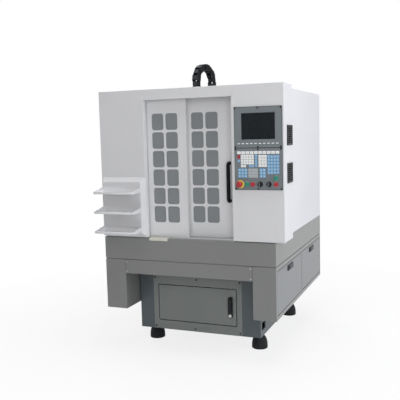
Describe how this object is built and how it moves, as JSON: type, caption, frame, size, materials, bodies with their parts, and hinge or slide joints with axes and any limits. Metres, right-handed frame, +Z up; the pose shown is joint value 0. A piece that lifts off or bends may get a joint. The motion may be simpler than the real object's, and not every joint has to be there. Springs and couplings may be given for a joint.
{
  "type": "cnc engraving machine",
  "caption": "Enclosed engraving machine with telescopic windowed doors, control cabinet, tool rack, fixed gantry, moving table, spindle head and drag chain on a pedestal with levelling feet.",
  "frame": {"origin": "floor point under the middle of the machine's outer box", "axes": "+Z up, +Y towards the machine's back, +X to the operator's right"},
  "size_m": [1.27, 1.537, 1.9821],
  "materials": {
    "white_paint": "satin powder coat",
    "base_grey": "satin powder coat",
    "plate_grey": "satin powder coat",
    "dark_grey": "textured paint",
    "casting_paint": "painted casting, machined faces",
    "steel": "ground",
    "black_plastic": "moulded, fine grain",
    "rubber_feet": "moulded",
    "window_pane": "smoked, frosted behind",
    "display": "anti-glare",
    "bezel_grey": "fine texture",
    "keys_white": "moulded",
    "keys_blue": "moulded",
    "keys_grey": "moulded",
    "red_plastic": "moulded",
    "green_plastic": "moulded"
  },
  "bodies": {
    "frame": {"feet": "rubber_feet", "pedestal": "dark_grey", "front_plate": "plate_grey", "electrics_panel": "steel", "side_box_left": "base_grey", "side_box_right": "base_grey", "front_beam": "base_grey", "base_pan": "base_grey", "bed": "casting_paint", "gantry": "casting_paint", "guide_rails": "steel", "axis_motors": "black_plastic", "enclosure": "white_paint", "front_frame": "white_paint", "control_cabinet": "white_paint", "cabinet_cover": "white_paint", "fan_grilles": "black_plastic", "screen_bezel": "bezel_grey", "screen": "display", "keyboard_panel": "bezel_grey", "white_keys": "keys_white", "blue_keys": "keys_blue", "grey_keys": "keys_grey", "door_rails": "steel", "rack_board": "white_paint", "rack_trays": "white_paint"},
    "access_door": {"access_door": "plate_grey", "lock_base": "black_plastic"},
    "lock_lever": {"lock_lever": "black_plastic"},
    "x_carriage": {"x_carriage": "casting_paint", "z_motor": "black_plastic", "drag_chain": "black_plastic"},
    "z_head": {"z_head": "casting_paint", "spindle": "steel"},
    "spindle_nose": {"spindle_nose": "steel"},
    "table": {"table": "casting_paint"},
    "x_screw": {"x_screw": "steel"},
    "y_screw": {"y_screw": "steel"},
    "z_screw": {"z_screw": "steel"},
    "fan_rotor": {"fan_rotor": "black_plastic"},
    "left_door": {"left_door": "white_paint", "left_pane": "window_pane"},
    "right_door": {"right_door": "white_paint", "right_pane": "window_pane", "pull_handle": "black_plastic"},
    "estop_head": {"estop_head": "red_plastic"},
    "start_button": {"start_button": "green_plastic"},
    "stop_button": {"stop_button": "red_plastic"},
    "on_button": {"on_button": "green_plastic"},
    "off_button": {"off_button": "red_plastic"},
    "feed_knob": {"feed_knob": "black_plastic"},
    "speed_knob": {"speed_knob": "black_plastic"},
    "flap_left_front": {"flap_left_front": "base_grey"},
    "paddle_left_front": {"paddle_left_front": "steel"},
    "flap_left_rear": {"flap_left_rear": "base_grey"},
    "paddle_left_rear": {"paddle_left_rear": "steel"},
    "flap_right_front": {"flap_right_front": "base_grey"},
    "paddle_right_front": {"paddle_right_front": "steel"},
    "flap_right_rear": {"flap_right_rear": "base_grey"},
    "paddle_right_rear": {"paddle_right_rear": "steel"}
  },
  "joints": [
    {"name": "left_door_slide", "type": "slide", "parent": "frame", "child": "left_door", "axis": [-1, 0, 0], "range_m": [0, 0.285]},
    {"name": "right_door_slide", "type": "slide", "parent": "left_door", "child": "right_door", "axis": [-1, 0, 0], "range_m": [0, 0.25]},
    {"name": "access_hinge", "type": "hinge", "parent": "frame", "child": "access_door", "pos_m": [-0.3265, -0.415, 0.32], "axis": [0, 0, -1], "range_deg": [0, 110]},
    {"name": "lock_turn", "type": "hinge", "parent": "access_door", "child": "lock_lever", "pos_m": [0.202, -0.4295, 0.378], "axis": [0, 1, 0], "range_deg": [0, 90]},
    {"name": "flap_left_front_hinge", "type": "hinge", "parent": "frame", "child": "flap_left_front", "pos_m": [-0.6315, -0.2395, 0.3395], "axis": [0, -1, 0], "range_deg": [0, 90]},
    {"name": "paddle_left_front_hinge", "type": "hinge", "parent": "flap_left_front", "child": "paddle_left_front", "pos_m": [-0.6346, -0.1745, 0.588], "axis": [0, 0, -1], "range_deg": [0, 40], "stiffness_Nm_per_rad": 0.05},
    {"name": "flap_left_rear_hinge", "type": "hinge", "parent": "frame", "child": "flap_left_rear", "pos_m": [-0.6315, 0.423, 0.3395], "axis": [0, -1, 0], "range_deg": [0, 90]},
    {"name": "paddle_left_rear_hinge", "type": "hinge", "parent": "flap_left_rear", "child": "paddle_left_rear", "pos_m": [-0.6346, 0.488, 0.588], "axis": [0, 0, -1], "range_deg": [0, 40], "stiffness_Nm_per_rad": 0.05},
    {"name": "flap_right_front_hinge", "type": "hinge", "parent": "frame", "child": "flap_right_front", "pos_m": [0.5695, -0.2395, 0.3395], "axis": [0, 1, 0], "range_deg": [0, 90]},
    {"name": "paddle_right_front_hinge", "type": "hinge", "parent": "flap_right_front", "child": "paddle_right_front", "pos_m": [0.5726, -0.1745, 0.588], "axis": [0, 0, 1], "range_deg": [0, 40], "stiffness_Nm_per_rad": 0.05},
    {"name": "flap_right_rear_hinge", "type": "hinge", "parent": "frame", "child": "flap_right_rear", "pos_m": [0.5695, 0.423, 0.3395], "axis": [0, 1, 0], "range_deg": [0, 90]},
    {"name": "paddle_right_rear_hinge", "type": "hinge", "parent": "flap_right_rear", "child": "paddle_right_rear", "pos_m": [0.5726, 0.488, 0.588], "axis": [0, 0, 1], "range_deg": [0, 40], "stiffness_Nm_per_rad": 0.05},
    {"name": "x_slide", "type": "slide", "parent": "frame", "child": "x_carriage", "axis": [1, 0, 0], "range_m": [-0.25, 0.25]},
    {"name": "y_slide", "type": "slide", "parent": "frame", "child": "table", "axis": [0, 1, 0], "range_m": [-0.1, 0.4]},
    {"name": "z_slide", "type": "slide", "parent": "x_carriage", "child": "z_head", "axis": [0, 0, 1], "range_m": [-0.15, 0.015], "deforming": ["drag_chain"]},
    {"name": "spindle_spin", "type": "hinge", "parent": "z_head", "child": "spindle_nose", "pos_m": [-0.031, -0.0995, 1.2], "axis": [0, 0, 1], "continuous": true},
    {"name": "x_screw_turn", "type": "hinge", "parent": "frame", "child": "x_screw", "pos_m": [-0.031, 0.1225, 1.375], "axis": [1, 0, 0], "range_deg": [-9100, 9100]},
    {"name": "y_screw_turn", "type": "hinge", "parent": "frame", "child": "y_screw", "pos_m": [-0.031, 0.1405, 0.838], "axis": [0, 1, 0], "range_deg": [-3700, 14500]},
    {"name": "z_screw_turn", "type": "hinge", "parent": "x_carriage", "child": "z_screw", "pos_m": [-0.031, 0.0345, 1.45], "axis": [0, 0, 1], "range_deg": [-10900, 1200]},
    {"name": "fan_spin", "type": "hinge", "parent": "frame", "child": "fan_rotor", "pos_m": [0.609, -0.4715, 1.461], "axis": [1, 0, 0], "continuous": true},
    {"name": "estop_press", "type": "slide", "parent": "frame", "child": "estop_head", "axis": [0, 1, 0], "range_m": [0, 0.005]},
    {"name": "start_press", "type": "slide", "parent": "frame", "child": "start_button", "axis": [0, 1, 0], "range_m": [0, 0.004], "stiffness_N_per_m": 600},
    {"name": "stop_press", "type": "slide", "parent": "frame", "child": "stop_button", "axis": [0, 1, 0], "range_m": [0, 0.004], "stiffness_N_per_m": 600},
    {"name": "on_press", "type": "slide", "parent": "frame", "child": "on_button", "axis": [0, 1, 0], "range_m": [0, 0.004], "stiffness_N_per_m": 600},
    {"name": "off_press", "type": "slide", "parent": "frame", "child": "off_button", "axis": [0, 1, 0], "range_m": [0, 0.004], "stiffness_N_per_m": 600},
    {"name": "feed_knob_turn", "type": "hinge", "parent": "frame", "child": "feed_knob", "pos_m": [0.481, -0.6235, 1.168], "axis": [0, 1, 0], "range_deg": [-135, 135]},
    {"name": "speed_knob_turn", "type": "hinge", "parent": "frame", "child": "speed_knob", "pos_m": [0.536, -0.6235, 1.168], "axis": [0, 1, 0], "range_deg": [-135, 135]}
  ],
  "couplings": [
    {"joint": "x_screw_turn", "follows": "x_slide", "rad_per_m": 628.32},
    {"joint": "y_screw_turn", "follows": "y_slide", "rad_per_m": 628.32},
    {"joint": "z_screw_turn", "follows": "z_slide", "rad_per_m": 1256.6}
  ]
}
